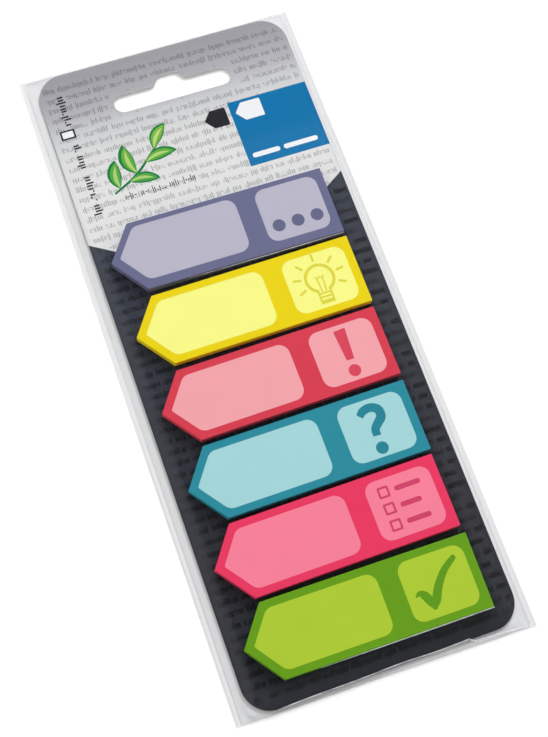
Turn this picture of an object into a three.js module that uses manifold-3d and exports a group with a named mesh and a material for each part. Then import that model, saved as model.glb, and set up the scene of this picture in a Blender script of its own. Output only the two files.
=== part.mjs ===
// Six pads of arrow-shaped index tabs, stuck in a column on a backing card with a hang slot,
// packed together in a clear film sleeve. The pack lies on its back: +X runs across the card
// to the square ends of the tabs, +Y runs up the card to the hang slot, and +Z points away
// from the table. The origin is the middle of the sleeve's back. Lengths are in millimetres.
import * as THREE from 'three';
import { ConvexGeometry } from 'three/addons/geometries/ConvexGeometry.js';
import { mergeVertices } from 'three/addons/utils/BufferGeometryUtils.js';
import Module from 'manifold-3d';

const wasm = await Module();
wasm.setup();

// One tab: an oblong leaf whose left end comes to a point
const TAB_WIDTH = 17.7;
const TAB_BODY = 49.6;
const TAB_POINT = 6.5;
const TAB_CORNER_RADIUS = 0.35;

// A pad is a block of leaves
const LEAVES_PER_PAD = 25;
const LEAF_THICKNESS = 0.085;

// How the pads sit on the card
const PAD_GAP = 1.52;
const PAD_TIP_MARGIN = 3.4;
const PAD_RIGHT_MARGIN = 5.7;
const PAD_FOOT_MARGIN = 5.1;

// The backing card
const CARD_THICKNESS = 0.4;
const CARD_CORNER_RADIUS = 6.7;
const HEADER_HEIGHT = 45.05;

// The hang slot, centred across the card
const SLOT_LENGTH = 30.5;
const SLOT_HEIGHT = 4.8;
const SLOT_BUMP_WIDTH = 9.6;
const SLOT_BUMP_TOP_WIDTH = 3.6;
const SLOT_BUMP_RISE = 2.4;
const SLOT_DROP = 12.4;

// The film sleeve: how far it stands out past each side of the card
const FILM_THICKNESS = 0.06;
const SLEEVE_LEFT_MARGIN = 3.4;
const SLEEVE_RIGHT_MARGIN = 2.4;
const SLEEVE_TOP_MARGIN = 0.65;
const SLEEVE_FOOT_MARGIN = 1.95;
const SIDE_SEAM_WIDTH = 1.2;
const END_FOLD_WIDTH = 0.2;
const FILM_SIDE_CLEARANCE = 0.15;
const FILM_TENT_LENGTH = 12;

// How finely arcs are cut: on the card and the slot, and on a tab's tiny corners
const ARC_SEGMENTS = 6;
const TAB_ARC_SEGMENTS = 2;

// Each pad was laid by hand: its turn in degrees and its slip from the regular place
const PADS = [
  { name: 'violet_pad', colour: 0x736f9c, turn: -0.43, slipX: 0.22, slipY: 0.15 },
  { name: 'yellow_pad', colour: 0xebd71c, turn: 0.26, slipX: 0.17, slipY: 0.01 },
  { name: 'red_pad', colour: 0xe0455b, turn: 0.6, slipX: -0.04, slipY: -0.15 },
  { name: 'teal_pad', colour: 0x2d8fa3, turn: 0.34, slipX: -0.1, slipY: -0.21 },
  { name: 'pink_pad', colour: 0xec3a66, turn: 0.42, slipX: -0.31, slipY: 0.09 },
  { name: 'green_pad', colour: 0x62a51e, turn: -0.45, slipX: 0.06, slipY: 0.11 },
];

// Sizes that follow from the ones above
const TAB_LENGTH = TAB_BODY + TAB_POINT;
const PAD_HEIGHT = LEAVES_PER_PAD * LEAF_THICKNESS;
const PAD_PITCH = TAB_WIDTH + PAD_GAP;
const PAD_COLUMN = PADS.length * PAD_PITCH - PAD_GAP;

const CARD_WIDTH = PAD_TIP_MARGIN + TAB_LENGTH + PAD_RIGHT_MARGIN;
const CARD_HEIGHT = PAD_FOOT_MARGIN + PAD_COLUMN + HEADER_HEIGHT;

const SLEEVE_WIDTH = SLEEVE_LEFT_MARGIN + CARD_WIDTH + SLEEVE_RIGHT_MARGIN;
const SLEEVE_HEIGHT = SLEEVE_FOOT_MARGIN + CARD_HEIGHT + SLEEVE_TOP_MARGIN;

const card = {
  left: -SLEEVE_WIDTH / 2 + SLEEVE_LEFT_MARGIN,
  right: SLEEVE_WIDTH / 2 - SLEEVE_RIGHT_MARGIN,
  foot: -SLEEVE_HEIGHT / 2 + SLEEVE_FOOT_MARGIN,
  top: SLEEVE_HEIGHT / 2 - SLEEVE_TOP_MARGIN,
  back: FILM_THICKNESS,
  front: FILM_THICKNESS + CARD_THICKNESS,
};
const padsFront = card.front + PAD_HEIGHT;
const padsRight = card.right - PAD_RIGHT_MARGIN;
const firstPadY = card.foot + PAD_FOOT_MARGIN + PAD_COLUMN - TAB_WIDTH / 2;
const slotX = (card.left + card.right) / 2;
const slotY = card.top - SLOT_DROP;

// Outlines

// A closed outline through the given corners, each rounded to one radius
function roundedOutline(corners, radius) {
  const shape = new THREE.Shape();
  corners.forEach((corner, i) => {
    const before = corners[(i + corners.length - 1) % corners.length];
    const after = corners[(i + 1) % corners.length];
    const towardsBefore = before.clone().sub(corner).normalize();
    const towardsAfter = after.clone().sub(corner).normalize();
    const halfAngle = Math.acos(towardsBefore.dot(towardsAfter)) / 2;
    const reach = radius / Math.tan(halfAngle);
    const start = corner.clone().addScaledVector(towardsBefore, reach);
    const end = corner.clone().addScaledVector(towardsAfter, reach);
    const inwards = towardsBefore.clone().add(towardsAfter).normalize();
    const centre = corner.clone().addScaledVector(inwards, radius / Math.sin(halfAngle));
    const startAngle = Math.atan2(start.y - centre.y, start.x - centre.x);
    const endAngle = Math.atan2(end.y - centre.y, end.x - centre.x);
    shape.absarc(centre.x, centre.y, radius, startAngle, endAngle, false);
  });
  shape.closePath();
  return shape;
}

function boxCorners(left, right, foot, top) {
  return [
    new THREE.Vector2(left, foot),
    new THREE.Vector2(right, foot),
    new THREE.Vector2(right, top),
    new THREE.Vector2(left, top),
  ];
}

// The tab's five corners, about the middle of the leaf
function tabCorners() {
  const right = TAB_LENGTH / 2;
  const shoulder = right - TAB_BODY;
  const half = TAB_WIDTH / 2;
  return [
    new THREE.Vector2(right, -half),
    new THREE.Vector2(right, half),
    new THREE.Vector2(shoulder, half),
    new THREE.Vector2(-right, 0),
    new THREE.Vector2(shoulder, -half),
  ];
}

// The hang slot: a long round-ended hole with a raised middle for the hook
function traceSlot(path) {
  const half = SLOT_HEIGHT / 2;
  const endX = SLOT_LENGTH / 2 - half;
  const bumpFoot = SLOT_BUMP_WIDTH / 2;
  const bumpTop = SLOT_BUMP_TOP_WIDTH / 2;
  const ease = (bumpFoot - bumpTop) / 2;
  const roof = slotY + half;
  path.absarc(slotX + endX, slotY, half, -Math.PI / 2, Math.PI / 2, false);
  path.lineTo(slotX + bumpFoot, roof);
  path.bezierCurveTo(
    slotX + bumpFoot - ease, roof,
    slotX + bumpTop + ease, roof + SLOT_BUMP_RISE,
    slotX + bumpTop, roof + SLOT_BUMP_RISE,
  );
  path.lineTo(slotX - bumpTop, roof + SLOT_BUMP_RISE);
  path.bezierCurveTo(
    slotX - bumpTop - ease, roof + SLOT_BUMP_RISE,
    slotX - bumpFoot + ease, roof,
    slotX - bumpFoot, roof,
  );
  path.absarc(slotX - endX, slotY, half, Math.PI / 2, Math.PI * 1.5, false);
  path.closePath();
  return path;
}

function cardOutline(growth) {
  const corners = boxCorners(
    card.left - growth, card.right + growth, card.foot - growth, card.top + growth,
  );
  return roundedOutline(corners, CARD_CORNER_RADIUS + growth);
}

// Solids

function extrude(shape, depth, curveSegments = ARC_SEGMENTS) {
  return new THREE.ExtrudeGeometry(shape, { depth, bevelEnabled: false, curveSegments });
}

function toManifold(geometry) {
  const bare = geometry.clone();
  bare.deleteAttribute('normal');
  bare.deleteAttribute('uv');
  const merged = mergeVertices(bare, 1e-4);
  return new wasm.Manifold(new wasm.Mesh({
    numProp: 3,
    vertProperties: new Float32Array(merged.attributes.position.array),
    triVerts: new Uint32Array(merged.index.array),
  }));
}

function toGeometry(solid) {
  const mesh = solid.getMesh();
  const geometry = new THREE.BufferGeometry();
  geometry.setAttribute('position', new THREE.BufferAttribute(mesh.vertProperties, 3));
  geometry.setIndex(new THREE.BufferAttribute(mesh.triVerts, 1));
  const flat = geometry.toNonIndexed();
  flat.computeVertexNormals();
  return flat;
}

function atHeight(points, z) {
  return points.map((point) => new THREE.Vector3(point.x, point.y, z));
}

function raised(points, rise) {
  return points.map((point) => new THREE.Vector3(point.x, point.y, point.z + rise));
}

// Where pad number i lies: its middle and its turn in radians
function padPlace(i) {
  const pad = PADS[i];
  return {
    x: padsRight - TAB_LENGTH / 2 + pad.slipX,
    y: firstPadY - i * PAD_PITCH + pad.slipY,
    turn: THREE.MathUtils.degToRad(pad.turn),
  };
}

// The corners of every pad as laid, each moved out by the film's clearance
function laidPadCorners() {
  return PADS.flatMap((pad, i) => {
    const place = padPlace(i);
    const middle = new THREE.Vector2(0, 0);
    return tabCorners().map((corner) => {
      const reach = (corner.length() + FILM_SIDE_CLEARANCE) / corner.length();
      const grown = corner.clone().multiplyScalar(reach).rotateAround(middle, place.turn);
      return grown.add(new THREE.Vector2(place.x, place.y));
    });
  });
}

// The room inside the sleeve, as two convex bodies: the low one over the whole card, and the
// one where the film is stretched over the pads and slopes down to the card around them
function sleeveRoom() {
  const seams = boxCorners(
    -SLEEVE_WIDTH / 2 + SIDE_SEAM_WIDTH,
    SLEEVE_WIDTH / 2 - SIDE_SEAM_WIDTH,
    -SLEEVE_HEIGHT / 2 + END_FOLD_WIDTH,
    SLEEVE_HEIGHT / 2 - END_FOLD_WIDTH,
  );
  const cardEdge = cardOutline(FILM_SIDE_CLEARANCE).getPoints(ARC_SEGMENTS);
  const low = [...atHeight(seams, card.back), ...atHeight(cardEdge, card.front)];

  const tentTop = firstPadY + TAB_WIDTH / 2 + FILM_TENT_LENGTH;
  const tentFoot = cardEdge.filter((point) => point.y < tentTop);
  tentFoot.push(new THREE.Vector2(card.left - FILM_SIDE_CLEARANCE, tentTop));
  tentFoot.push(new THREE.Vector2(card.right + FILM_SIDE_CLEARANCE, tentTop));
  const tent = [...atHeight(tentFoot, card.front), ...atHeight(laidPadCorners(), padsFront)];
  return [low, tent];
}

function buildSleeve() {
  const sleeveEdge = boxCorners(
    -SLEEVE_WIDTH / 2, SLEEVE_WIDTH / 2, -SLEEVE_HEIGHT / 2, SLEEVE_HEIGHT / 2,
  );
  let film = toManifold(extrude(new THREE.Shape(sleeveEdge), 2 * FILM_THICKNESS));
  const room = sleeveRoom();
  for (const points of room) {
    const skin = [...points, ...raised(points, FILM_THICKNESS)];
    film = film.add(toManifold(new ConvexGeometry(skin)));
  }
  for (const points of room) {
    film = film.subtract(toManifold(new ConvexGeometry(points)));
  }
  const punch = extrude(traceSlot(new THREE.Shape()), 4 * card.front);
  punch.translate(0, 0, -card.front);
  return toGeometry(film.subtract(toManifold(punch)));
}

function buildCard() {
  const outline = cardOutline(0);
  outline.holes.push(traceSlot(new THREE.Path()));
  return extrude(outline, CARD_THICKNESS);
}

function buildPad() {
  return extrude(roundedOutline(tabCorners(), TAB_CORNER_RADIUS), PAD_HEIGHT, TAB_ARC_SEGMENTS);
}

// Assembly

function piece(name, geometry, settings) {
  const mesh = new THREE.Mesh(geometry, new THREE.MeshStandardMaterial(settings));
  mesh.name = name;
  return mesh;
}

const pack = new THREE.Group();

const backingCard = piece('backing_card', buildCard(), {
  color: 0x34343e, roughness: 0.5, metalness: 0,
});
backingCard.position.z = card.back;
pack.add(backingCard);

PADS.forEach((pad, i) => {
  const place = padPlace(i);
  const mesh = piece(pad.name, buildPad(), {
    color: pad.colour, roughness: 0.6, metalness: 0,
  });
  mesh.position.set(place.x, place.y, card.front);
  mesh.rotation.z = place.turn;
  pack.add(mesh);
});

pack.add(piece('clear_sleeve', buildSleeve(), {
  color: 0xe6e6ea, roughness: 0.12, metalness: 0, transparent: true, opacity: 0.25,
}));

export default pack;
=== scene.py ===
"""Six pads of arrow-shaped index tabs on a printed card, in a clear film sleeve."""

import math
import random

import bmesh
import bpy
from mathutils import Matrix, Vector, noise
from mathutils.geometry import delaunay_2d_cdt


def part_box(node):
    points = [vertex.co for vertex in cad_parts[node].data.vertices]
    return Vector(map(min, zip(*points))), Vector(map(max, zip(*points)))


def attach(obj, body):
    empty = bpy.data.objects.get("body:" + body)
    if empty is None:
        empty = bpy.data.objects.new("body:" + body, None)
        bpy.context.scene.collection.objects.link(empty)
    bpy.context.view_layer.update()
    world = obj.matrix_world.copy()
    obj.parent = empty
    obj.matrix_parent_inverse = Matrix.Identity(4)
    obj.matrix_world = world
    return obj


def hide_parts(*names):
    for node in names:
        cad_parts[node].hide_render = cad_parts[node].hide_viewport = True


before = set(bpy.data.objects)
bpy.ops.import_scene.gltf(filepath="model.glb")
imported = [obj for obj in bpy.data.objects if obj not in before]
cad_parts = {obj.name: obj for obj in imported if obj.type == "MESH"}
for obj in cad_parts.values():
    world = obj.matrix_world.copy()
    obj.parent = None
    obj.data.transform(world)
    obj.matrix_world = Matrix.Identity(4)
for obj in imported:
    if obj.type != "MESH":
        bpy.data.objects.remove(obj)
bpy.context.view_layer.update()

# Shapes are worked out in millimetres and made into meshes in metres.
MM = 0.001


# The places of the CAD solids, in millimetres
CARD_LOW, CARD_HIGH = [Vector(corner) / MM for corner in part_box("backing_card")]
SLEEVE_LOW, SLEEVE_HIGH = [Vector(corner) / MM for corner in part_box("clear_sleeve")]

# One tab, as it is cut: the CAD solid's corners place it, and a leaf's own are a little crisper
TAB_WIDTH = 17.7
TAB_BODY = 49.6
TAB_POINT = 6.5
TAB_LENGTH = TAB_BODY + TAB_POINT
TAB_CORNER_RADIUS = 0.35
LEAF_CORNER_RADIUS = 0.16

# A pad's leaves, with the bevel of each cut edge and how far a leaf drifts from the one below
LEAVES_PER_PAD = 25
LEAF_BEVEL_HEIGHT = 0.012
LEAF_BEVEL_DEPTH = 0.025
LEAF_DRIFT = 0.03

# The two pale fields printed on each tab
TAB_BORDER = 1.75
FIELD_RADIUS = 2.6
FIELD_TIP_RADIUS = 0.6
ICON_FIELD_WIDTH = 15.95
ICON_FIELD_MARGIN = 2.05
BAR_WIDTH = 5.0

# The hang slot in the card and the film
SLOT_LENGTH = 30.5
SLOT_HEIGHT = 4.8
SLOT_BUMP_WIDTH = 9.6
SLOT_BUMP_TOP_WIDTH = 3.6
SLOT_BUMP_RISE = 2.4
SLOT_DROP = 12.4

CARD_CORNER_RADIUS = 6.7
CARD_BEVEL = 0.03

# Each pad: its turn in degrees, how far its print sits off the middle, and its three inks
PADS = {
    "violet_pad": (-0.43, 0.5, "#6F7193", "#BFBCCD", "#6A6C8C"),
    "yellow_pad": (0.26, 0.0, "#F2DA10", "#FFFF8E", "#E4DB46"),
    "red_pad": (0.6, 0.0, "#DE4254", "#FAABB1", "#E04A60"),
    "teal_pad": (0.34, 0.0, "#2E91A3", "#ABDDE0", "#2A8A9C"),
    "pink_pad": (0.42, 0.0, "#F13D66", "#FF87A0", "#D8466E"),
    "green_pad": (-0.45, 0.0, "#6BA31C", "#B5D239", "#649F1E"),
}

# The low and high corners of each pad's CAD solid, in millimetres
PAD_BOXES = {node: [Vector(corner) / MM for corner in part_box(node)] for node in PADS}


# Colours and materials


def linear(hex_colour):
    """A hex colour as the linear RGBA that shader sockets take."""
    channels = [int(hex_colour[i : i + 2], 16) / 255 for i in (1, 3, 5)]
    return [c / 12.92 if c <= 0.04045 else ((c + 0.055) / 1.055) ** 2.4 for c in channels] + [1.0]


class Nodes:
    """A node tree, with short ways to add and join nodes."""

    def __init__(self, tree):
        self.tree = tree

    def add(self, kind, **settings):
        node = self.tree.nodes.new("ShaderNode" + kind)
        for key, value in settings.items():
            setattr(node, key, value)
        return node

    def join(self, source, target):
        self.tree.links.new(source, target)

    def maths(self, operation, first, second=None):
        node = self.add("Math", operation=operation)
        for socket, value in zip(node.inputs, (first, second)):
            if isinstance(value, (int, float)):
                socket.default_value = value
            elif value is not None:
                self.join(value, socket)
        return node.outputs[0]


# The colour sockets of a Mix node, which come after its plain and vector ones
MIX_FIRST, MIX_SECOND, MIX_RESULT = 6, 7, 2


class Shader(Nodes):
    """A material's node tree, with the patterns that the materials share."""

    def __init__(self, name):
        self.material = bpy.data.materials.new(name)
        self.material.use_nodes = True
        super().__init__(self.material.node_tree)
        self.surface = self.tree.nodes["Principled BSDF"]
        self.output = self.tree.nodes["Material Output"]

    def position(self):
        return self.add("TexCoord").outputs["Object"]

    def noise(self, scale, detail=2.0, roughness=0.5, where=None):
        node = self.add("TexNoise")
        node.inputs["Scale"].default_value = scale
        node.inputs["Detail"].default_value = detail
        node.inputs["Roughness"].default_value = roughness
        self.join(where or self.position(), node.inputs["Vector"])
        return node.outputs["Fac"]

    def spread(self, value, low, high):
        """A noise value from 0 to 1 brought to the range from low to high."""
        return self.maths("ADD", self.maths("MULTIPLY", value, high - low), low)

    def ramp(self, value, stops):
        """A colour ramp over value, from (place, hex colour) stops."""
        node = self.add("ValToRGB")
        elements = node.color_ramp.elements
        while len(elements) < len(stops):
            elements.new(0.5)
        for element, (place, colour) in zip(elements, stops):
            element.position = place
            element.color = linear(colour)
        self.join(value, node.inputs["Fac"])
        return node.outputs["Color"]

    def tint(self, colour, value):
        """A colour, plain or from a socket, made lighter or darker by a value."""
        node = self.add("Mix", data_type="RGBA", blend_type="MULTIPLY")
        node.inputs["Factor"].default_value = 1.0
        if isinstance(colour, list):
            node.inputs[MIX_FIRST].default_value = colour
        else:
            self.join(colour, node.inputs[MIX_FIRST])
        self.join(value, node.inputs[MIX_SECOND])
        return node.outputs[MIX_RESULT]

    def bump(self, height, strength, distance):
        node = self.add("Bump")
        node.inputs["Strength"].default_value = strength
        node.inputs["Distance"].default_value = distance
        self.join(height, node.inputs["Height"])
        return node.outputs["Normal"]

    def finish(self, colour, roughness, specular):
        """Sets the surface's colour, from a socket, and its two plain values."""
        self.join(colour, self.surface.inputs["Base Color"])
        self.surface.inputs["Roughness"].default_value = roughness
        self.surface.inputs["Specular IOR Level"].default_value = specular
        return self.material


def paper(name, colour, roughness=0.62):
    """Uncoated printed paper: ink that sinks unevenly into fine fibres."""
    shader = Shader(name)
    fibres = shader.noise(3500, 4.0, 0.7)
    mottle = shader.noise(140, 2.0)
    shade = shader.maths("MULTIPLY", shader.spread(fibres, 0.95, 1.05), shader.spread(mottle, 0.975, 1.025))
    shader.join(shader.bump(fibres, 0.25, 0.00002), shader.surface.inputs["Normal"])
    return shader.finish(shader.tint(linear(colour), shade), roughness, 0.12)


def leaf_edge(name, colour):
    """The cut edges of a block of leaves: the ink's hue, with each leaf a little different."""
    shader = Shader(name)
    stretch = shader.add("Mapping")
    stretch.inputs["Scale"].default_value = (1.0, 1.0, 40.0)
    shader.join(shader.position(), stretch.inputs["Vector"])
    layers = shader.noise(300, 3.0, 0.6, stretch.outputs["Vector"])
    return shader.finish(shader.tint(linear(colour), shader.spread(layers, 0.8, 1.1)), 0.8, 0.2)


def card_ink(name, stops, strength=1.0):
    """Ink on smooth card whose colour runs up the card through (height, colour) stops."""
    shader = Shader(name)
    split = shader.add("SeparateXYZ")
    shader.join(shader.position(), split.inputs[0])
    foot, top = stops[0][0], stops[-1][0]
    span = (top - foot) * MM
    place = shader.maths("DIVIDE", shader.maths("SUBTRACT", split.outputs["Y"], foot * MM), span)
    run = shader.ramp(place, [((y - foot) / (top - foot), colour) for y, colour in stops])
    grain = shader.noise(2200, 3.0, 0.65)
    cloud = shader.noise(60, 2.0)
    shade = shader.maths("MULTIPLY", shader.spread(grain, 0.95, 1.05), shader.spread(cloud, 0.96, 1.04))
    shade = shader.maths("MULTIPLY", shade, strength)
    shader.join(shader.bump(grain, 0.15, 0.00001), shader.surface.inputs["Normal"])
    return shader.finish(shader.tint(run, shade), 0.5, 0.1)


def clear_film(name, clearness, highlight_paint=0.0):
    """Thin clear film: it lets most light through, mirrors a little of the room and, where asked, takes a
    painted highlight of white diffuse colour in streaks where a fold would glint.
    """
    shader = Shader(name)
    shader.tree.nodes.remove(shader.surface)
    through = shader.add("BsdfTransparent")
    through.inputs["Color"].default_value = (clearness, clearness + 0.001, clearness + 0.003, 1.0)
    gloss = shader.add("BsdfGlossy")
    gloss.inputs["Color"].default_value = (1.0, 1.0, 1.0, 1.0)
    gloss.inputs["Roughness"].default_value = 0.08
    ripple = shader.noise(260, 3.0, 0.55)
    shader.join(shader.bump(ripple, 0.25, 0.0001), gloss.inputs["Normal"])
    facing = shader.add("LayerWeight")
    facing.inputs["Blend"].default_value = 0.5
    grazing = shader.maths("POWER", facing.outputs["Facing"], 5.0)
    mirror = shader.spread(grazing, 0.008, 0.6)
    mix = shader.add("MixShader")
    shader.join(mirror, mix.inputs["Fac"])
    shader.join(through.outputs[0], mix.inputs[1])
    shader.join(gloss.outputs[0], mix.inputs[2])
    if highlight_paint:
        # Painted highlight: white diffuse colour mixed into the film in streaks, standing in for light
        # glinting along a fold
        crease = shader.add("BsdfDiffuse")
        crease.inputs["Color"].default_value = (0.95, 0.96, 0.98, 1.0)
        highlighted = shader.add("MixShader")
        highlight_streak = shader.maths("MULTIPLY", shader.noise(500, 2.0, 0.6), 2 * highlight_paint)
        shader.join(highlight_streak, highlighted.inputs["Fac"])
        shader.join(mix.outputs[0], highlighted.inputs[1])
        shader.join(crease.outputs[0], highlighted.inputs[2])
        mix = highlighted
    shader.join(mix.outputs[0], shader.output.inputs["Surface"])
    return shader.material


# Outlines, as lists of (x, y) points that run anticlockwise


def box_outline(left, right, foot, top):
    return [Vector((left, foot)), Vector((right, foot)), Vector((right, top)), Vector((left, top))]


def rounded(corners, radii, steps=7):
    """An outline through corners, each rounded to its own radius."""
    points = []
    for i, corner in enumerate(corners):
        to_before = (corners[i - 1] - corner).normalized()
        to_after = (corners[(i + 1) % len(corners)] - corner).normalized()
        half = to_before.angle(to_after) / 2
        centre = corner + (to_before + to_after).normalized() * (radii[i] / math.sin(half))
        arm = corner + to_before * (radii[i] / math.tan(half)) - centre
        sweep = math.pi - 2 * half
        for step in range(steps + 1):
            points.append(centre + Matrix.Rotation(sweep * step / steps, 2) @ arm)
    return points


def rounded_box(left, right, foot, top, radius, steps=3):
    return rounded(box_outline(left, right, foot, top), [radius] * 4, steps)


def inset(points, depth):
    """An outline moved inwards by depth, point by point."""
    drawn_in = []
    for i, point in enumerate(points):
        before = (point - points[i - 1]).normalized()
        after = (points[(i + 1) % len(points)] - point).normalized()
        across = Vector((-before.y - after.y, before.x + after.x)).normalized()
        bend = max(0.3, across.dot(Vector((-before.y, before.x))))
        drawn_in.append(point + across * (depth / bend))
    return drawn_in


def circle(x, y, radius, steps=28):
    angles = [2 * math.pi * k / steps for k in range(steps)]
    return [Vector((x + radius * math.cos(a), y + radius * math.sin(a))) for a in angles]


def smooth_line(points, steps=7):
    """A Catmull-Rom curve through a few points; each point may carry a width after its x and y."""
    knots = [Vector(p) for p in points]
    knots = [2 * knots[0] - knots[1]] + knots + [2 * knots[-1] - knots[-2]]
    line = []
    for a, b, c, d in zip(knots, knots[1:], knots[2:], knots[3:]):
        for step in range(steps):
            t = step / steps
            bend = (2 * a - 5 * b + 4 * c - d) * t**2
            twist = (3 * b - 3 * c + d - a) * t**3
            line.append(0.5 * (2 * b + (c - a) * t + bend + twist))
    line.append(knots[-2])
    return line


def stroke(points, round_ends=True, smooth=True):
    """The outline of a brush stroke through (x, y, width) points."""
    line = smooth_line(points) if smooth else [Vector(p) for p in points]
    left, right = [], []
    for i, knot in enumerate(line):
        ahead = line[min(i + 1, len(line) - 1)] - line[max(i - 1, 0)]
        side = Vector((-ahead.y, ahead.x)).normalized() * (knot.z / 2)
        left.append(knot.xy + side)
        right.append(knot.xy - side)
    if not round_ends:
        return right + left[::-1]
    return right + round_end(line[-1], line[-2]) + left[::-1] + round_end(line[0], line[1])


def round_end(end, inner, steps=6):
    """The half circle that closes a stroke past its end."""
    out = (end.xy - inner.xy).normalized() * (end.z / 2)
    turns = [math.pi * (k / steps - 0.5) for k in range(1, steps)]
    return [end.xy + Matrix.Rotation(turn, 2) @ out for turn in turns]


def straight_line(points, width):
    """The outline of a line of one width through (x, y) points."""
    return stroke([(x, y, width) for x, y in points], smooth=False)


def moved(points, x, y, turn=0.0):
    """Points turned about the origin and then shifted."""
    spin = Matrix.Rotation(turn, 2)
    return [spin @ Vector(p) + Vector((x, y)) for p in points]


# Meshes

# Points closer than this, in millimetres, count as one when outlines are cut into triangles
CUT_PRECISION = 1e-4


def gather(outlines):
    """The outlines' points in one list, and each outline as places in it."""
    points, faces = [], []
    for outline in outlines:
        faces.append(list(range(len(points), len(points) + len(outline))))
        points += outline
    return points, faces


def cut(points, faces):
    """Corners, triangles over the faces, and for each triangle the faces that it lies in."""
    found = delaunay_2d_cdt(points, [], faces, 1, CUT_PRECISION)
    corners, sources = found[0], found[5]
    triangles = []
    for triangle in found[2]:
        a, b, c = (corners[k] for k in triangle)
        triangles.append(list(triangle) if (b - a).cross(c - a) > 0 else list(triangle)[::-1])
    return corners, triangles, sources


def partition(regions, holes=()):
    """Triangles that cover the regions, each with the ink of the last region over it."""
    corners, triangles, sources = cut(*gather([outline for outline, _ in regions] + list(holes)))
    inked = []
    for triangle, source in zip(triangles, sources):
        if source and max(source) < len(regions):
            inked.append((triangle, regions[max(source)][1]))
    return corners, inked


class Solid:
    """A mesh in the making: rings, walls and inked caps, in millimetres."""

    def __init__(self, materials):
        self.bm = bmesh.new()
        self.materials = materials

    def vert(self, x, y, z):
        return self.bm.verts.new((x * MM, y * MM, z * MM))

    def ring(self, points, z):
        return [self.vert(p.x, p.y, z) for p in points]

    def wall(self, lower, upper, ink):
        """Quads between two rings of the same number of points."""
        count = len(lower)
        for i in range(count):
            k = (i + 1) % count
            face = self.bm.faces.new((lower[i], lower[k], upper[k], upper[i]))
            face.material_index = ink

    def cap(self, corners, triangles, z, upward=True):
        verts = self.ring(corners, z)
        for triangle, ink in triangles:
            order = triangle if upward else triangle[::-1]
            face = self.bm.faces.new([verts[k] for k in order])
            face.material_index = ink

    def finish(self, name, body, smooth=False):
        """Closes the seams, makes the object and hangs it on its body."""
        bmesh.ops.remove_doubles(self.bm, verts=self.bm.verts, dist=5e-7)
        loose = [v for v in self.bm.verts if not v.link_faces]
        bmesh.ops.delete(self.bm, geom=loose, context="VERTS")
        mesh = bpy.data.meshes.new(name)
        self.bm.to_mesh(mesh)
        self.bm.free()
        for material in self.materials:
            mesh.materials.append(material)
        for polygon in mesh.polygons:
            polygon.use_smooth = smooth
        piece = bpy.data.objects.new(name, mesh)
        bpy.context.scene.collection.objects.link(piece)
        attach(piece, body)
        return piece


# The pads


def tab_outline(radius=TAB_CORNER_RADIUS):
    """A tab about its own middle, with the point to the left."""
    right, half = TAB_LENGTH / 2, TAB_WIDTH / 2
    shoulder = right - TAB_BODY
    corners = [(right, -half), (right, half), (shoulder, half), (-right, 0), (shoulder, -half)]
    return rounded([Vector(c) for c in corners], [radius] * 5, 3)


def label_field():
    """The long pale field, which follows the tab's point at an even distance."""
    half = TAB_WIDTH / 2 - TAB_BORDER
    right = TAB_LENGTH / 2 - ICON_FIELD_MARGIN - ICON_FIELD_WIDTH - BAR_WIDTH
    slope = math.atan2(TAB_WIDTH / 2, TAB_POINT)
    tip = -TAB_LENGTH / 2 + (TAB_BORDER + 0.1) / math.sin(slope)
    shoulder = tip + half / math.tan(slope)
    corners = [(right, -half), (right, half), (shoulder, half), (tip, 0), (shoulder, -half)]
    radii = [FIELD_RADIUS, FIELD_RADIUS, FIELD_RADIUS, FIELD_TIP_RADIUS, FIELD_RADIUS]
    return rounded([Vector(c) for c in corners], radii)


def icon_field():
    half = TAB_WIDTH / 2 - TAB_BORDER
    right = TAB_LENGTH / 2 - ICON_FIELD_MARGIN
    return rounded_box(right - ICON_FIELD_WIDTH, right, -half, half, FIELD_RADIUS, 7)


ICON_X = TAB_LENGTH / 2 - ICON_FIELD_MARGIN - ICON_FIELD_WIDTH / 2

# The inks of a tab, as places in its list of materials
BORDER, FIELD, ICON, EDGE = range(4)


def dots_icon():
    """Three dots in a row, low in the field."""
    return [(circle(x, -3.2, 1.6), ICON) for x in (-4.6, 0.3, 5.2)]


def bulb_icon():
    """A light bulb drawn as a thin line, with rays around it."""
    line, wire, radius, middle = 0.72, 0.35, 3.45, 0.45
    shapes = [(circle(0, middle, radius + line / 2, 40), ICON)]
    shapes.append((box_outline(-1.75, 1.75, -6.1, -1.6), ICON))
    shapes.append((circle(0, middle, radius - line / 2, 40), FIELD))
    shapes.append((box_outline(-1.25, 1.25, -3.2, -1.5), FIELD))
    for low in (-4.15, -5.15):
        shapes.append((box_outline(-1.3, 1.3, low, low + 0.5), FIELD))
    filament = [(-0.95, 0.9), (-0.45, 0.4), (0, 0.95), (0.45, 0.4), (0.95, 0.9)]
    shapes.append((straight_line(filament, wire), ICON))
    for side in (-1, 1):
        shapes.append((straight_line([(side * 0.5, -2.9), (side * 0.75, 0.5)], wire), ICON))
    for angle in (-25, 10, 45, 90, 135, 170, 205):
        way = Vector((math.cos(math.radians(angle)), math.sin(math.radians(angle))))
        start, end = way * 4.8, way * 6.3
        ray = [(start.x, start.y + middle, 0.62), (end.x, end.y + middle, 0.55)]
        shapes.append((stroke(ray, smooth=False), ICON))
    return shapes


def exclamation_icon():
    """A tapered stem over a round dot."""
    stem = [Vector(p) for p in ((-0.95, -1.9), (0.95, -1.9), (1.5, 6.05), (-1.5, 5.8))]
    return [(rounded(stem, [0.25] * 4, 3), ICON), (circle(0, -4.7, 1.5), ICON)]


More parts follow.
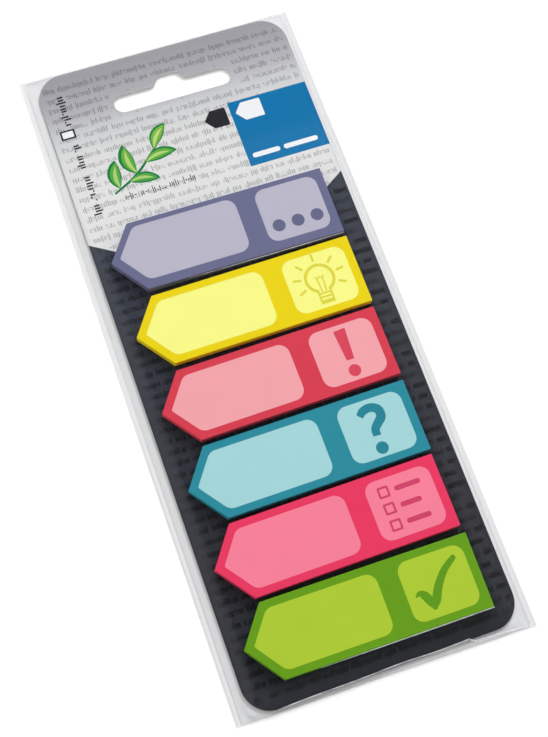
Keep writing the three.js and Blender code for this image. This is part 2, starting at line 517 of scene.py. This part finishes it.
def question_icon():
    """A heavy hook over a round dot."""
    hook = [
        (-2.9, 3.6, 1.7), (-1.7, 4.65, 2.0), (0.2, 4.95, 2.1), (1.8, 4.0, 2.25), (1.9, 2.2, 2.25),
        (0.6, 0.85, 2.1), (-0.45, -0.3, 2.0), (-0.6, -1.9, 1.9),
    ]
    return [(stroke(hook, round_ends=False), ICON), (circle(-0.55, -4.95, 1.5), ICON)]


def list_icon():
    """A plain list: three empty boxes, each with a bar beside it."""
    shapes = []
    for y, width in ((4.0, 6.4), (0.0, 5.2), (-4.0, 6.0)):
        shapes.append((rounded_box(-5.2, -2.5, y - 1.35, y + 1.35, 0.35), ICON))
        shapes.append((rounded_box(-4.7, -3.0, y - 0.85, y + 0.85, 0.15), FIELD))
        shapes.append((rounded_box(-1.2, -1.2 + width, y - 0.6, y + 0.6, 0.55), ICON))
    return shapes


def check_icon():
    """A brushed check mark, thin where the brush lifts."""
    down = [(-5.9, -1.3, 0.4), (-4.9, -0.9, 1.3), (-3.9, -1.7, 2.0), (-3.0, -3.6, 1.9), (-2.5, -4.9, 0.9)]
    up = [(-2.9, -4.9, 0.7), (-1.9, -3.5, 2.0), (-0.2, -0.5, 1.9), (2.3, 2.4, 1.6), (5.2, 4.4, 1.3)]
    return [(stroke(down), ICON), (stroke(up), ICON)]


ICONS = {
    "violet_pad": dots_icon,
    "yellow_pad": bulb_icon,
    "red_pad": exclamation_icon,
    "teal_pad": question_icon,
    "pink_pad": list_icon,
    "green_pad": check_icon,
}


def pad_middle(high, turn):
    """Where the CAD solid's middle lies: its box is that of the tab as turned."""
    spin = Matrix.Rotation(turn, 2)
    laid = [spin @ p for p in tab_outline()]
    return Vector((high.x - max(p.x for p in laid), high.y - max(p.y for p in laid)))


def stack_leaves(solid, node, low, high, middle, turn):
    """Stacks leaves, each a little off the one below, and returns the outline of the top one's face."""
    rng = random.Random(node)
    step = (high.z - low.z) / LEAVES_PER_PAD
    full = tab_outline(LEAF_CORNER_RADIUS)
    drawn_in = inset(full, LEAF_BEVEL_DEPTH)
    previous = None
    drift = Vector((0.0, 0.0))
    for leaf in range(LEAVES_PER_PAD):
        top_leaf = leaf == LEAVES_PER_PAD - 1
        stray = Vector((rng.uniform(-LEAF_DRIFT, LEAF_DRIFT), rng.uniform(-LEAF_DRIFT, LEAF_DRIFT)))
        drift = drift * 0.7 + stray
        shift = middle + (Vector((0.0, 0.0)) if top_leaf else drift)
        z = low.z + leaf * step
        profile = (
            (drawn_in, z), (full, z + LEAF_BEVEL_HEIGHT),
            (full, z + step - LEAF_BEVEL_HEIGHT), (drawn_in, z + step),
        )
        rings = [solid.ring(moved(outline, shift.x, shift.y, turn), height) for outline, height in profile]
        if previous:
            solid.wall(previous, rings[0], EDGE)
        else:
            solid.bm.faces.new(rings[0][::-1]).material_index = EDGE
        for lower, upper in zip(rings, rings[1:]):
            solid.wall(lower, upper, EDGE)
        previous = rings[-1]
    return drawn_in


def build_pad(node):
    """A block of leaves, the top one printed with its two fields and its icon."""
    degrees, slip, border, field, icon_ink = PADS[node]
    turn = math.radians(degrees)
    low, high = PAD_BOXES[node]
    middle = pad_middle(high, turn)
    solid = Solid([
        paper(node + "_border_ink", border),
        paper(node + "_field_ink", field),
        paper(node + "_icon_ink", icon_ink),
        leaf_edge(node + "_cut_edge", border),
    ])
    face = stack_leaves(solid, node, low, high, middle, turn)
    icon = [(moved(shape, ICON_X, 0.0), ink) for shape, ink in ICONS[node]()]
    fields = [(label_field(), FIELD), (icon_field(), FIELD)] + icon
    regions = [(face, BORDER)] + [(moved(outline, 0.0, slip), ink) for outline, ink in fields]
    laid = [(moved(outline, middle.x, middle.y, turn), ink) for outline, ink in regions]
    corners, triangles = partition(laid)
    solid.cap(corners, triangles, high.z)
    piece = solid.finish(node + "_leaves", "root")
    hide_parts(node)


# The card

# The inks of the card, as places in its list of materials
LIGHT, DARK, LIGHT_HAZE, DARK_HAZE, LIGHT_TEXT, DARK_TEXT = range(6)
BLUE, WHITE, BLACK, LEAF_DARK, LEAF_MID, LEAF_PALE, BOARD = range(6, 13)

# Heights up the card and the colours of the light and dark print there
LIGHT_RUN = [
    (38, "#E6E6E4"), (58, "#E2E2E1"), (66, "#CFD0D3"), (71, "#B8B7BC"), (78, "#A8A6AC"), (82, "#9F9EA3"),
]
DARK_RUN = [(-82, "#303138"), (-60, "#303138"), (-20, "#34363F"), (36, "#3B404D")]

# How far the printed fields stay inside the card's front face, so that its rim keeps its own points
PRINT_MARGIN = 0.01

# How far the small print keeps from the card's edge, and its rows from each side of the card
TEXT_MARGIN = 0.4
ROWS_LEFT, ROWS_RIGHT = 1.5, 0.5
ROWS_TOP, ROWS_FOOT = 4.4, 1.5

# The rows of small print: their pitch, and the height and weight of their marks
TEXT_PITCH = 2.8
TEXT_HEIGHT = 1.05
TEXT_WEIGHT = 0.26
GROUP_SIZES = (4, 5, 6, 8, 9, 11, 13, 16)

# The light print ends in a shallow downward chevron behind the first pad
CHEVRON_DROP = 46.5
CHEVRON_SLOPE = 0.62
CHEVRON_DEPTH = 8.0

# The blue panel: its width, and the drops of its foot and top below the card's top edge
PANEL_WIDTH = 20.9
PANEL_FOOT_DROP = 38.6
PANEL_TOP_DROP = 20.2

# The sprig and the row of marks under it, by their distances from the card's left and top edges
SPRIG_IN, SPRIG_DROP = 10.4, 35.4
SPRIG_ROW_START, SPRIG_ROW_END, SPRIG_ROW_DROP = 12.4, 30.6, 37.7

# The upright marks: how far in from the card's left edge, and each group's ends, from the top edge
UPRIGHT_IN = 5.7
UPRIGHT_GROUPS = ((-39.5, -28.0), (-26.5, -19.6), (-14.2, -5.4))


def slot_outline(x, y):
    """The hang slot: a long round-ended hole with a raised middle."""
    half = SLOT_HEIGHT / 2
    end = SLOT_LENGTH / 2 - half
    foot, top = SLOT_BUMP_WIDTH / 2, SLOT_BUMP_TOP_WIDTH / 2
    lean = (foot - top) / 2
    curve_xs = (foot, foot - lean, top + lean, top)
    curve_ys = (half, half, half + SLOT_BUMP_RISE, half + SLOT_BUMP_RISE)
    curve = []
    for k in range(9):
        t = k / 8
        weights = ((1 - t) ** 3, 3 * t * (1 - t) ** 2, 3 * t * t * (1 - t), t**3)
        curve.append(Vector([sum(w * v for w, v in zip(weights, values)) for values in (curve_xs, curve_ys)]))
    points = []
    for k in range(13):
        angle = -math.pi / 2 + math.pi * k / 12
        points.append(Vector((end + half * math.cos(angle), half * math.sin(angle))))
    points += curve
    points += [Vector((-p.x, p.y)) for p in reversed(curve)]
    for k in range(13):
        angle = math.pi / 2 + math.pi * k / 12
        points.append(Vector((-end + half * math.cos(angle), half * math.sin(angle))))
    return [p + Vector((x, y)) for p in points]


def small_print(rng, start, end, baseline, ink, height=TEXT_HEIGHT, weight=TEXT_WEIGHT, ground=None):
    """A row of short upright and level marks in groups, each group on its own ground if one is given."""
    marks = []
    x = start
    while x < end - 1.0:
        group_start = x
        group = []
        for _ in range(rng.choice(GROUP_SIZES)):
            kind = rng.random()
            if kind < 0.7:
                rise = height * rng.choice((1.0, 1.0, 1.0, 1.45))
                drop = height * rng.choice((0.0, 0.0, 0.0, 0.0, 0.35))
                group.append((x, x + weight, baseline - drop, baseline + rise))
                x += weight + height * rng.choice((0.2, 0.26, 0.34))
            else:
                low = baseline + height * rng.choice((0.0, 0.38, 0.76))
                group.append((x, x + height * 0.42, low, low + height * 0.24))
                x += height * 0.6
            if x > end - 0.5:
                break
        if ground is not None:
            group_end = min(x - 0.1, end)
            band = box_outline(group_start - 0.1, group_end, baseline - 0.05, baseline + height + 0.05)
            marks.append((band, ground))
        marks += [(box_outline(*mark), ink) for mark in group]
        x += height * rng.choice((0.6, 0.7, 0.9))
    return marks


def lies_in(low, high, box):
    """True where a mark from low to high lies wholly inside a (left, right, foot, top) box."""
    left, right, foot, top = box
    return left < low.x and high.x < right and foot < low.y and high.y < top


def touches(low, high, box):
    """True where a mark from low to high overlaps a (left, right, foot, top) box."""
    left, right, foot, top = box
    return left < high.x and low.x < right and foot < high.y and low.y < top


def past_card(x, y):
    """How far a point lies past the card's rounded outline; below 0 over the card."""
    corner = CARD_CORNER_RADIUS
    dx = max(CARD_LOW.x + corner - x, x - CARD_HIGH.x + corner, 0.0)
    dy = max(CARD_LOW.y + corner - y, y - CARD_HIGH.y + corner, 0.0)
    return math.hypot(dx, dy) - corner


def in_light_print(point):
    edge = min(point.x - CARD_LOW.x, CARD_HIGH.x - point.x)
    return point.y > CARD_HIGH.y - CHEVRON_DROP - min(edge * CHEVRON_SLOPE, CHEVRON_DEPTH)


def body_text(rng, covers, holes, strong_from):
    """Rows of small print, left out where they are covered or cut away.

    On the dark print the word grounds are fainter than the marks, up to strong_from.
    """
    marks = []
    start, end = CARD_LOW.x + ROWS_LEFT, CARD_HIGH.x - ROWS_RIGHT
    baseline = CARD_HIGH.y - ROWS_TOP
    while baseline > CARD_LOW.y + ROWS_FOOT:
        for outline, ink in small_print(rng, start, end, baseline, LIGHT_TEXT, ground=LIGHT_HAZE):
            low, high = outline[0], outline[2]
            hidden = any(lies_in(low, high, box) for box in covers)
            holed = any(touches(low, high, box) for box in holes)
            on_card = max(past_card(low.x, low.y), past_card(high.x, high.y)) < -TEXT_MARGIN
            on_light = in_light_print(low)
            if hidden or holed or not on_card or on_light != in_light_print(high):
                continue
            if not on_light:
                ink = DARK_TEXT if ink == LIGHT_TEXT or low.x > strong_from else DARK_HAZE
            marks.append((outline, ink))
        baseline -= TEXT_PITCH
    return marks


def light_print(limit):
    """The light print: it follows the print's limit above and ends in the chevron below."""
    left, right = min(p.x for p in limit), max(p.x for p in limit)
    level = CARD_HIGH.y - CHEVRON_DROP
    deep = level - CHEVRON_DEPTH
    run = CHEVRON_DEPTH / CHEVRON_SLOPE
    below = [(left, level), (left + run, deep), (right - run, deep), (right, level)]
    return [p for p in limit if p.y > level] + [Vector(p) for p in below]


def sprig_leaf(x, y, length, width, degrees):
    """An almond-shaped leaf that grows from (x, y)."""
    shape = [(0, 0, 0.05)]
    for t in (0.15, 0.35, 0.55, 0.75, 0.9):
        swell = math.sin(math.pi * t)
        shape.append((length * t, length * 0.10 * swell, width * swell**0.8))
    shape.append((length, 0, 0.05))
    return moved(stroke(shape, round_ends=False), x, y, math.radians(degrees))


def sprig(x, y):
    """A plain sprig of leaves in three greens."""
    shapes = [(stroke([(x, y, 0.5), (x + 6.5, y + 3.4, 0.7), (x + 13.5, y + 9.5, 0.4)]), LEAF_DARK)]
    leaves = (
        (1.5, 0.9, 7.8, 3.4, 84), (4.2, 1.9, 7.6, 3.0, -8), (6.6, 3.6, 8.6, 3.6, 98),
        (9.6, 5.8, 8.4, 3.2, 8), (12.6, 8.8, 7.6, 3.2, 52),
    )
    for along, rise, length, width, degrees in leaves:
        root_x, root_y = x + along, y + rise
        shapes.append((sprig_leaf(root_x, root_y, length, width, degrees), LEAF_DARK))
        for long, wide, twist, ink in ((0.9, 0.72, 0, LEAF_MID), (0.78, 0.28, 2, LEAF_PALE)):
            inner = sprig_leaf(root_x + 0.1, root_y + 0.1, length * long, width * wide, degrees + twist)
            shapes.append((inner, ink))
    return shapes


def arrow_tab(x, y, length, width):
    """A small picture of one tab, pointing left."""
    right, shoulder, half = x + length, x + width * 0.4, width / 2
    corners = [(right, y - half), (right, y + half), (shoulder, y + half), (x, y), (shoulder, y - half)]
    return rounded([Vector(c) for c in corners], [0.3] * 5, 3)


def blue_panel(panel):
    """The panel with two small tabs across its edge and two bars near its foot."""
    left, _, foot, top = panel
    shapes = [(box_outline(*panel), BLUE)]
    for start, end in ((1.4, 8.6), (9.6, 18.6)):
        shapes.append((rounded_box(left + start, left + end, foot + 2.0, foot + 3.3, 0.6), WHITE))
    shapes.append((arrow_tab(left - 7.0, top - 3.3, 6.0, 5.0), BLACK))
    shapes.append((arrow_tab(left + 1.2, top - 3.3, 7.0, 5.0), WHITE))
    return shapes


def upright_marks(rng, left, top):
    """Groups of marks that run up the card's left edge, and a small page outline among them."""
    shapes = []
    for start, end in UPRIGHT_GROUPS:
        for outline, ink in small_print(rng, start, end, 0.0, BLACK, height=1.35, weight=0.42):
            shapes.append(([Vector((left + UPRIGHT_IN - p.y, top + p.x)) for p in outline], ink))
    page = box_outline(left + 2.2, left + 5.9, top - 17.9, top - 15.3)
    shapes.append((rounded(page, [0.3] * 4, 3), BLACK))
    shapes.append((rounded(inset(page, 0.45), [0.1] * 4, 3), WHITE))
    return shapes


def slot_boxes():
    """Boxes around the slot and its raised middle, with room for the small print to keep clear."""
    x, y = (CARD_LOW.x + CARD_HIGH.x) / 2, CARD_HIGH.y - SLOT_DROP
    half = SLOT_HEIGHT / 2
    return [
        (x - SLOT_LENGTH / 2 - 0.5, x + SLOT_LENGTH / 2 + 0.5, y - half - 0.3, y + half + 0.4),
        (x - SLOT_BUMP_WIDTH / 2 - 0.3, x + SLOT_BUMP_WIDTH / 2 + 0.3, y, y + half + SLOT_BUMP_RISE + 0.3),
    ]


def card_print(limit):
    """Every printed field of the card, the later ones over the earlier ones."""
    rng = random.Random(18)
    left, top = CARD_LOW.x, CARD_HIGH.y
    print_right = max(p.x for p in limit)
    panel = (CARD_HIGH.x - PANEL_WIDTH, print_right, top - PANEL_FOOT_DROP, top - PANEL_TOP_DROP)
    covers = [panel]
    for low, high in PAD_BOXES.values():
        covers.append((low.x + TAB_POINT, high.x, low.y, high.y))
    pads_right = covers[-1][1]
    shapes = [(light_print(limit), LIGHT)]
    shapes += body_text(rng, covers, slot_boxes(), pads_right)
    shapes += blue_panel(panel)
    shapes += sprig(left + SPRIG_IN, top - SPRIG_DROP)
    row = (left + SPRIG_ROW_START, left + SPRIG_ROW_END, top - SPRIG_ROW_DROP)
    shapes += small_print(rng, *row, BLACK, height=1.15, weight=0.2)
    shapes += upright_marks(rng, left, top)
    return shapes


def build_card():
    """The die-cut card: printed front, plain board back, and a cut edge all round."""
    left, foot, back = CARD_LOW
    right, top, front = CARD_HIGH
    outline = rounded_box(left, right, foot, top, CARD_CORNER_RADIUS, 12)
    slot = slot_outline((left + right) / 2, top - SLOT_DROP)
    solid = Solid([
        card_ink("card_light_print", LIGHT_RUN),
        card_ink("card_dark_print", DARK_RUN),
        card_ink("card_light_word_ground", LIGHT_RUN, 0.93),
        card_ink("card_dark_word_ground", DARK_RUN, 0.75),
        card_ink("card_light_small_print", LIGHT_RUN, 0.55),
        card_ink("card_dark_small_print", DARK_RUN, 0.22),
        card_ink("card_blue_print", [(40, "#0074AC"), (64, "#0075AE")]),
        card_ink("card_white_print", [(40, "#F4F6F8"), (64, "#F4F6F8")]),
        card_ink("card_black_print", [(40, "#232328"), (80, "#26262B")]),
        card_ink("card_deep_green_print", [(44, "#0A7A3C"), (64, "#128A48")]),
        card_ink("card_green_print", [(44, "#2C9A4A"), (54, "#5CAE3C"), (64, "#8FC03A")]),
        card_ink("card_lime_print", [(44, "#9CCB6A"), (64, "#CFE08A")]),
        paper("card_board", "#D8D6D0", 0.8),
    ])
    inner, inner_slot = inset(outline, CARD_BEVEL), inset(slot, -CARD_BEVEL)
    regions = [(inner, DARK)] + card_print(inset(outline, CARD_BEVEL + PRINT_MARGIN))
    corners, triangles = partition(regions, [inner_slot])
    solid.cap(corners, triangles, front)
    corners, triangles = partition([(inner, BOARD)], [inner_slot])
    solid.cap(corners, triangles, back, upward=False)
    for full, drawn_in, is_hole in ((outline, inner, False), (slot, inner_slot, True)):
        profile = ((drawn_in, back), (full, back + CARD_BEVEL), (full, front - CARD_BEVEL), (drawn_in, front))
        rings = [solid.ring(points, z) for points, z in profile]
        for lower, upper in zip(rings, rings[1:]):
            if is_hole:
                lower, upper = upper, lower
            solid.wall(lower, upper, BOARD)
    piece = solid.finish("printed_card", "root")
    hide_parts("backing_card")


# The film sleeve

FILM = 0.06
SEAM_WIDTH = 1.2
FOLD_WIDTH = 0.2
FILM_GRID = 0.9
FILM_CLEARNESS = 0.978

# The least air between the two sheets inside the seams
AIR_GAP = 0.01

# How far the front sheet runs out from the pads before it lies on the card, and past the card's edge
SLOPE_LEFT = 3.3
SLOPE_RIGHT = 5.4
SLOPE_FOOT = 4.8
SLOPE_TOP = 15.0
EDGE_SLOPE = 2.2

# A corner of the film's plan this near to the seam lies on it
ON_SEAM = 1e-3

# An open edge this far inside the sleeve's outline can only be the slot's
SLOT_SEARCH_IN = 5

# Places in the film's plan, which begins with its rim and ends with the lines of its painted highlights
SEAM, SLOT = 1, 2

# Places in the film's list of materials, after the plain film; the last one carries the painted highlights
DOUBLE, FILM_WITH_PAINTED_HIGHLIGHT = 1, 2

# The sleeve's folded foot hugs the card up to a kink, as (x, margin) points
FOOT_MARGINS = [
    (-35.5, 0.6), (-29.0, 0.4), (-22.0, 0.22), (18.5, 0.25), (20.5, 1.1), (22.0, 1.4), (35.5, 1.95),
]

# Lines of painted highlight on the film, where light would glint along its folds, as (x, y, width) points:
# its folded foot in two parts, two ridges along the lower edges of pads, and a line along the card's right
# edge
PAINTED_HIGHLIGHT_STROKES = [
    [
        (-34.4, -82.7, 0.10), (-29.5, -81.7, 0.22), (-20.5, -81.2, 0.26), (-6.4, -81.15, 0.22),
        (3.3, -81.0, 0.3), (12.7, -81.2, 0.24), (19.9, -81.1, 0.36),
    ],
    [(20.1, -81.2, 0.36), (21.0, -82.2, 0.5), (27.0, -82.4, 0.5), (34.6, -82.9, 0.2)],
    [(-14.0, -76.2, 0.05), (2.0, -76.33, 0.2), (16.0, -76.44, 0.26), (27.4, -76.5, 0.2)],
    [(-12.0, 19.75, 0.04), (2.0, 19.6, 0.14), (16.0, 19.5, 0.16), (27.4, 19.45, 0.08)],
    [(33.5, -72.0, 0.10), (33.45, -30.0, 0.24), (33.55, 20.0, 0.2), (33.45, 74.0, 0.12)],
]


def ease(t, bend=0.15):
    """A rise from 0 to 1 that is straight apart from a bend at each end."""
    t = min(max(t, 0.0), 1.0)
    if t > 0.5:
        return 1 - ease(1 - t, bend)
    return t * t / (2 * bend * (1 - bend)) if t < bend else (t - bend / 2) / (1 - bend)


def film_place(p):
    """The sleeve's drawn place for a point of its rectangle, with the foot drawn in."""
    past = CARD_LOW.y - p.y
    if past <= 0:
        return p
    margin = FOOT_MARGINS[-1][1]
    for (x0, m0), (x1, m1) in zip(FOOT_MARGINS, FOOT_MARGINS[1:]):
        if x0 <= p.x <= x1:
            margin = m0 + (m1 - m0) * (p.x - x0) / (x1 - x0)
    return Vector((p.x, CARD_LOW.y - past * margin / (CARD_LOW.y - SLEEVE_LOW.y)))


def film_shape():
    """A function for the height of the front sheet's inner side over any point, in millimetres."""
    boxes = list(PAD_BOXES.values())
    left = min(low.x for low, _ in boxes)
    right = max(high.x for _, high in boxes)
    foot = min(low.y for low, _ in boxes)
    top = max(high.y for _, high in boxes)
    card_top, pad_top = CARD_HIGH.z, boxes[0][1].z

    def height(x, y):
        out_x = max((left - x) / SLOPE_LEFT, (x - right) / SLOPE_RIGHT, 0.0)
        out_y = max((foot - y) / SLOPE_FOOT, (y - top) / SLOPE_TOP, 0.0)
        over_pads = 1 - ease(max(out_x, out_y))
        over_card = 1 - ease((past_card(x, y) - 0.1) / EDGE_SLOPE, 0.3)
        base = FILM + (card_top - FILM) * over_card
        slack = 0.5 + 0.5 * noise.noise(Vector((x * 0.07, y * 0.05, 3.0)))
        crease = max(0.0, noise.noise(Vector((x * 0.35, y * 0.09, 9.0)))) * 0.08
        near_foot = max(0.0, 1 - (y - SLEEVE_LOW.y) / 5)
        crumple = abs(noise.noise(Vector((x * 0.5, y * 0.9, 4.0)))) * 0.35 * near_foot
        loose = 0.02 + 0.12 * slack + crease + crumple
        return base + (pad_top - card_top) * over_pads + loose * over_card**2 + AIR_GAP

    return height


def film_plan(seam):
    """The flat sleeve cut into triangles along its outlines, the lines of its painted highlights and a fine
    grid.
    """
    left, foot, _ = SLEEVE_LOW
    right, top, _ = SLEEVE_HIGH
    slot = slot_outline((CARD_LOW.x + CARD_HIGH.x) / 2, CARD_HIGH.y - SLOT_DROP)
    outlines = [box_outline(left, right, foot, top), box_outline(*seam), slot]
    outlines += [stroke(line, round_ends=False) for line in PAINTED_HIGHLIGHT_STROKES]
    columns = round((right - left) / FILM_GRID)
    rows = round((top - foot) / FILM_GRID)
    xs = [left + (right - left) * k / columns for k in range(1, columns)]
    ys = [foot + (top - foot) * k / rows for k in range(1, rows)]
    points, faces = gather(outlines)
    points += [Vector((x, y)) for y in ys for x in xs]
    return cut(points, faces)


def film_layers(solid, corners, seam):
    """Each corner on the film's four faces; inside the seams the front sheet stands off the back one."""
    left, right, foot, top = seam
    height = film_shape()
    layers = {"outer": [], "inner": [], "lining": [], "back": []}
    for p in corners:
        depth = min(p.x - left, right - p.x, p.y - foot, top - p.y)
        inside = depth > -ON_SEAM
        on_seam = abs(depth) < ON_SEAM
        laid = film_place(p)
        rise = height(laid.x, laid.y) if inside and not on_seam else FILM
        layers["outer"].append(solid.vert(laid.x, laid.y, rise + FILM))
        layers["back"].append(solid.vert(laid.x, laid.y, SLEEVE_LOW.z))
        inner = solid.vert(laid.x, laid.y, rise) if inside else None
        lining = solid.vert(laid.x, laid.y, FILM) if inside and not on_seam else inner
        layers["inner"].append(inner)
        layers["lining"].append(lining)
    return layers


def close_rims(bm, layers):
    """Joins the open edges: outer to inner and lining to back at the slot, outer to back outside."""
    inner_of = dict(zip(layers["outer"], layers["inner"]))
    back_of = dict(zip(layers["outer"] + layers["lining"], layers["back"] * 2))
    outers = set(layers["outer"])
    linings = set(v for v in layers["lining"] if v)
    for edge in [e for e in bm.edges if len(e.link_faces) == 1]:
        loop = edge.link_loops[0]
        a, b = loop.vert, loop.link_loop_next.vert
        if a in outers and b in outers:
            partner = inner_of if on_slot_rim(a) and on_slot_rim(b) else back_of
            bm.faces.new((b, a, partner[a], partner[b]))
        elif a in linings and b in linings and on_slot_rim(a):
            bm.faces.new((b, a, back_of[a], back_of[b]))


def on_slot_rim(vert):
    """True for a corner well inside the sleeve's outline; of the open ones, those lie on the slot."""
    x, y = vert.co.x / MM, vert.co.y / MM
    in_x = SLEEVE_LOW.x + SLOT_SEARCH_IN < x < SLEEVE_HIGH.x - SLOT_SEARCH_IN
    in_y = SLEEVE_LOW.y + SLOT_SEARCH_IN < y < SLEEVE_HIGH.y - SLOT_SEARCH_IN
    return in_x and in_y


def build_sleeve():
    """A thin-walled bag: front and back sheets joined along the seams and open at the slot."""
    seam = (
        SLEEVE_LOW.x + SEAM_WIDTH, SLEEVE_HIGH.x - SEAM_WIDTH,
        SLEEVE_LOW.y + FOLD_WIDTH, SLEEVE_HIGH.y - FOLD_WIDTH,
    )
    corners, triangles, sources = film_plan(seam)
    solid = Solid([
        clear_film("clear_film", FILM_CLEARNESS),
        clear_film("clear_film_double", FILM_CLEARNESS**2 * 0.99),
        # The film with a painted highlight: white diffuse streaks in the fold lines
        clear_film("clear_film_painted_highlight", FILM_CLEARNESS, 0.45),
    ])
    layers = film_layers(solid, corners, seam)

    def face(layer, places):
        return solid.bm.faces.new([layers[layer][k] for k in places])

    for order, source in zip(triangles, sources):
        if SLOT in source:
            continue
        flip = order[::-1]
        front = face("outer", order)
        rear = face("back", flip)
        if SEAM in source:
            face("inner", flip)
            face("lining", order)
        else:
            front.material_index = rear.material_index = DOUBLE
        # Triangles in the fold lines take the film with the painted highlight
        if max(source) > SLOT:
            front.material_index = FILM_WITH_PAINTED_HIGHLIGHT
    close_rims(solid.bm, layers)
    piece = solid.finish("film_sleeve", "root", smooth=True)
    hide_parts("clear_sleeve")


# The stage, the lamps and the camera

CAMERA_AT = Vector((-53.4, -96.6, 307.3)) * MM
CAMERA_AIM = Vector((-0.1, -7.2, 0.0)) * MM
CAMERA_ROLL = math.radians(11.7)
IMAGE_HEIGHT = 737
FOCAL_PIXELS = 1375.2
SENSOR = 36.0

# A soft box behind the object, a little to the right; a level of 1 is a fully lit white
KEY_WAY = Vector((0.5, 0.7, 0.5)).normalized()
KEY_DISTANCE = 2.0
KEY_SIZE = 0.8
KEY_LEVEL = 0.42

# The floor is lit paper near the object and a plain white far from it, in metres
FLOOR_LIT_RADIUS = 0.35
FLOOR_WHITE_RADIUS = 0.9
FLOOR_HALF = 3.0
FLOOR_DROP = 0.00005

# The room: dim overhead, light towards the horizon, and lighter behind the object than before it
ROOM_OVERHEAD = 0.05
ROOM_SIDES = 1.28
ROOM_LEAN = (-0.2, 0.65, 0.0)

PURE_WHITE = (1.0, 1.0, 1.0, 1.0)


def build_camera():
    data = bpy.data.cameras.new("camera")
    data.sensor_width = SENSOR
    data.lens = FOCAL_PIXELS / IMAGE_HEIGHT * SENSOR
    data.clip_start = 0.01
    camera = bpy.data.objects.new("camera", data)
    bpy.context.scene.collection.objects.link(camera)
    look = (CAMERA_AIM - CAMERA_AT).to_track_quat("-Z", "Y").to_matrix().to_4x4()
    camera.matrix_world = Matrix.Translation(CAMERA_AT) @ look @ Matrix.Rotation(CAMERA_ROLL, 4, "Z")
    bpy.context.scene.camera = camera


def build_key_lamp():
    data = bpy.data.lights.new("key", "AREA")
    data.shape = "DISK"
    data.size = KEY_SIZE
    data.energy = KEY_LEVEL * (math.pi * KEY_DISTANCE) ** 2 / KEY_WAY.z
    lamp = bpy.data.objects.new("key", data)
    lamp.location = KEY_WAY * KEY_DISTANCE
    lamp.rotation_euler = (-KEY_WAY).to_track_quat("-Z", "Y").to_euler()
    # The film would mirror the lamp as a white patch over the pads in some views
    lamp.visible_glossy = False
    bpy.context.scene.collection.objects.link(lamp)


def floor_paper():
    """White paper that turns into plain white away from the object, for all rays but diffuse ones."""
    shader = Shader("floor_paper")
    shader.surface.inputs["Base Color"].default_value = PURE_WHITE
    shader.surface.inputs["Roughness"].default_value = 1.0
    shader.surface.inputs["Specular IOR Level"].default_value = 0.0
    distance = shader.add("VectorMath", operation="LENGTH")
    shader.join(shader.position(), distance.inputs[0])
    fade = shader.maths("SUBTRACT", distance.outputs["Value"], FLOOR_LIT_RADIUS)
    fade = shader.maths("DIVIDE", fade, FLOOR_WHITE_RADIUS - FLOOR_LIT_RADIUS)
    fade = shader.maths("MAXIMUM", shader.maths("MINIMUM", fade, 1.0), 0.0)
    path = shader.add("LightPath")
    seen = shader.maths("ADD", path.outputs["Is Camera Ray"], path.outputs["Is Glossy Ray"])
    seen = shader.maths("MINIMUM", shader.maths("ADD", seen, path.outputs["Is Transmission Ray"]), 1.0)
    white = shader.add("Emission")
    mix = shader.add("MixShader")
    shader.join(shader.maths("MULTIPLY", fade, seen), mix.inputs["Fac"])
    shader.join(shader.surface.outputs[0], mix.inputs[1])
    shader.join(white.outputs[0], mix.inputs[2])
    shader.join(mix.outputs[0], shader.output.inputs["Surface"])
    return shader.material


def build_stage():
    mesh = bpy.data.meshes.new("floor")
    corners = [(x * FLOOR_HALF, y * FLOOR_HALF, 0) for x, y in ((-1, -1), (1, -1), (1, 1), (-1, 1))]
    mesh.from_pydata(corners, [], [(0, 1, 2, 3)])
    mesh.materials.append(floor_paper())
    floor = bpy.data.objects.new("floor", mesh)
    floor.location.z = -FLOOR_DROP
    bpy.context.scene.collection.objects.link(floor)


def build_world():
    """Light from the room, which the camera sees as plain white."""
    world = bpy.data.worlds.new("room")
    world.use_nodes = True
    room = Nodes(world.node_tree)
    way = room.add("TexCoord").outputs["Generated"]
    split = room.add("SeparateXYZ")
    room.join(way, split.inputs[0])
    lean = room.add("VectorMath", operation="DOT_PRODUCT")
    room.join(way, lean.inputs[0])
    lean.inputs[1].default_value = ROOM_LEAN
    level = room.maths("SUBTRACT", 1.0, room.maths("MULTIPLY", split.outputs["Z"], split.outputs["Z"]))
    level = room.maths("MULTIPLY", level, room.maths("ADD", lean.outputs["Value"], ROOM_SIDES))
    level = room.maths("ADD", level, ROOM_OVERHEAD)
    background = world.node_tree.nodes["Background"]
    background.inputs["Color"].default_value = PURE_WHITE
    room.join(level, background.inputs["Strength"])
    seen = room.add("Background")
    seen.inputs["Color"].default_value = PURE_WHITE
    seen.inputs["Strength"].default_value = 1.0
    mix = room.add("MixShader")
    room.join(room.add("LightPath").outputs["Is Camera Ray"], mix.inputs["Fac"])
    room.join(background.outputs[0], mix.inputs[1])
    room.join(seen.outputs[0], mix.inputs[2])
    room.join(mix.outputs[0], world.node_tree.nodes["World Output"].inputs["Surface"])
    bpy.context.scene.world = world


build_camera()
build_card()
for pad_node in PADS:
    build_pad(pad_node)
build_sleeve()
build_stage()
build_world()
build_key_lamp()

bpy.context.scene.view_settings.view_transform = "Standard"
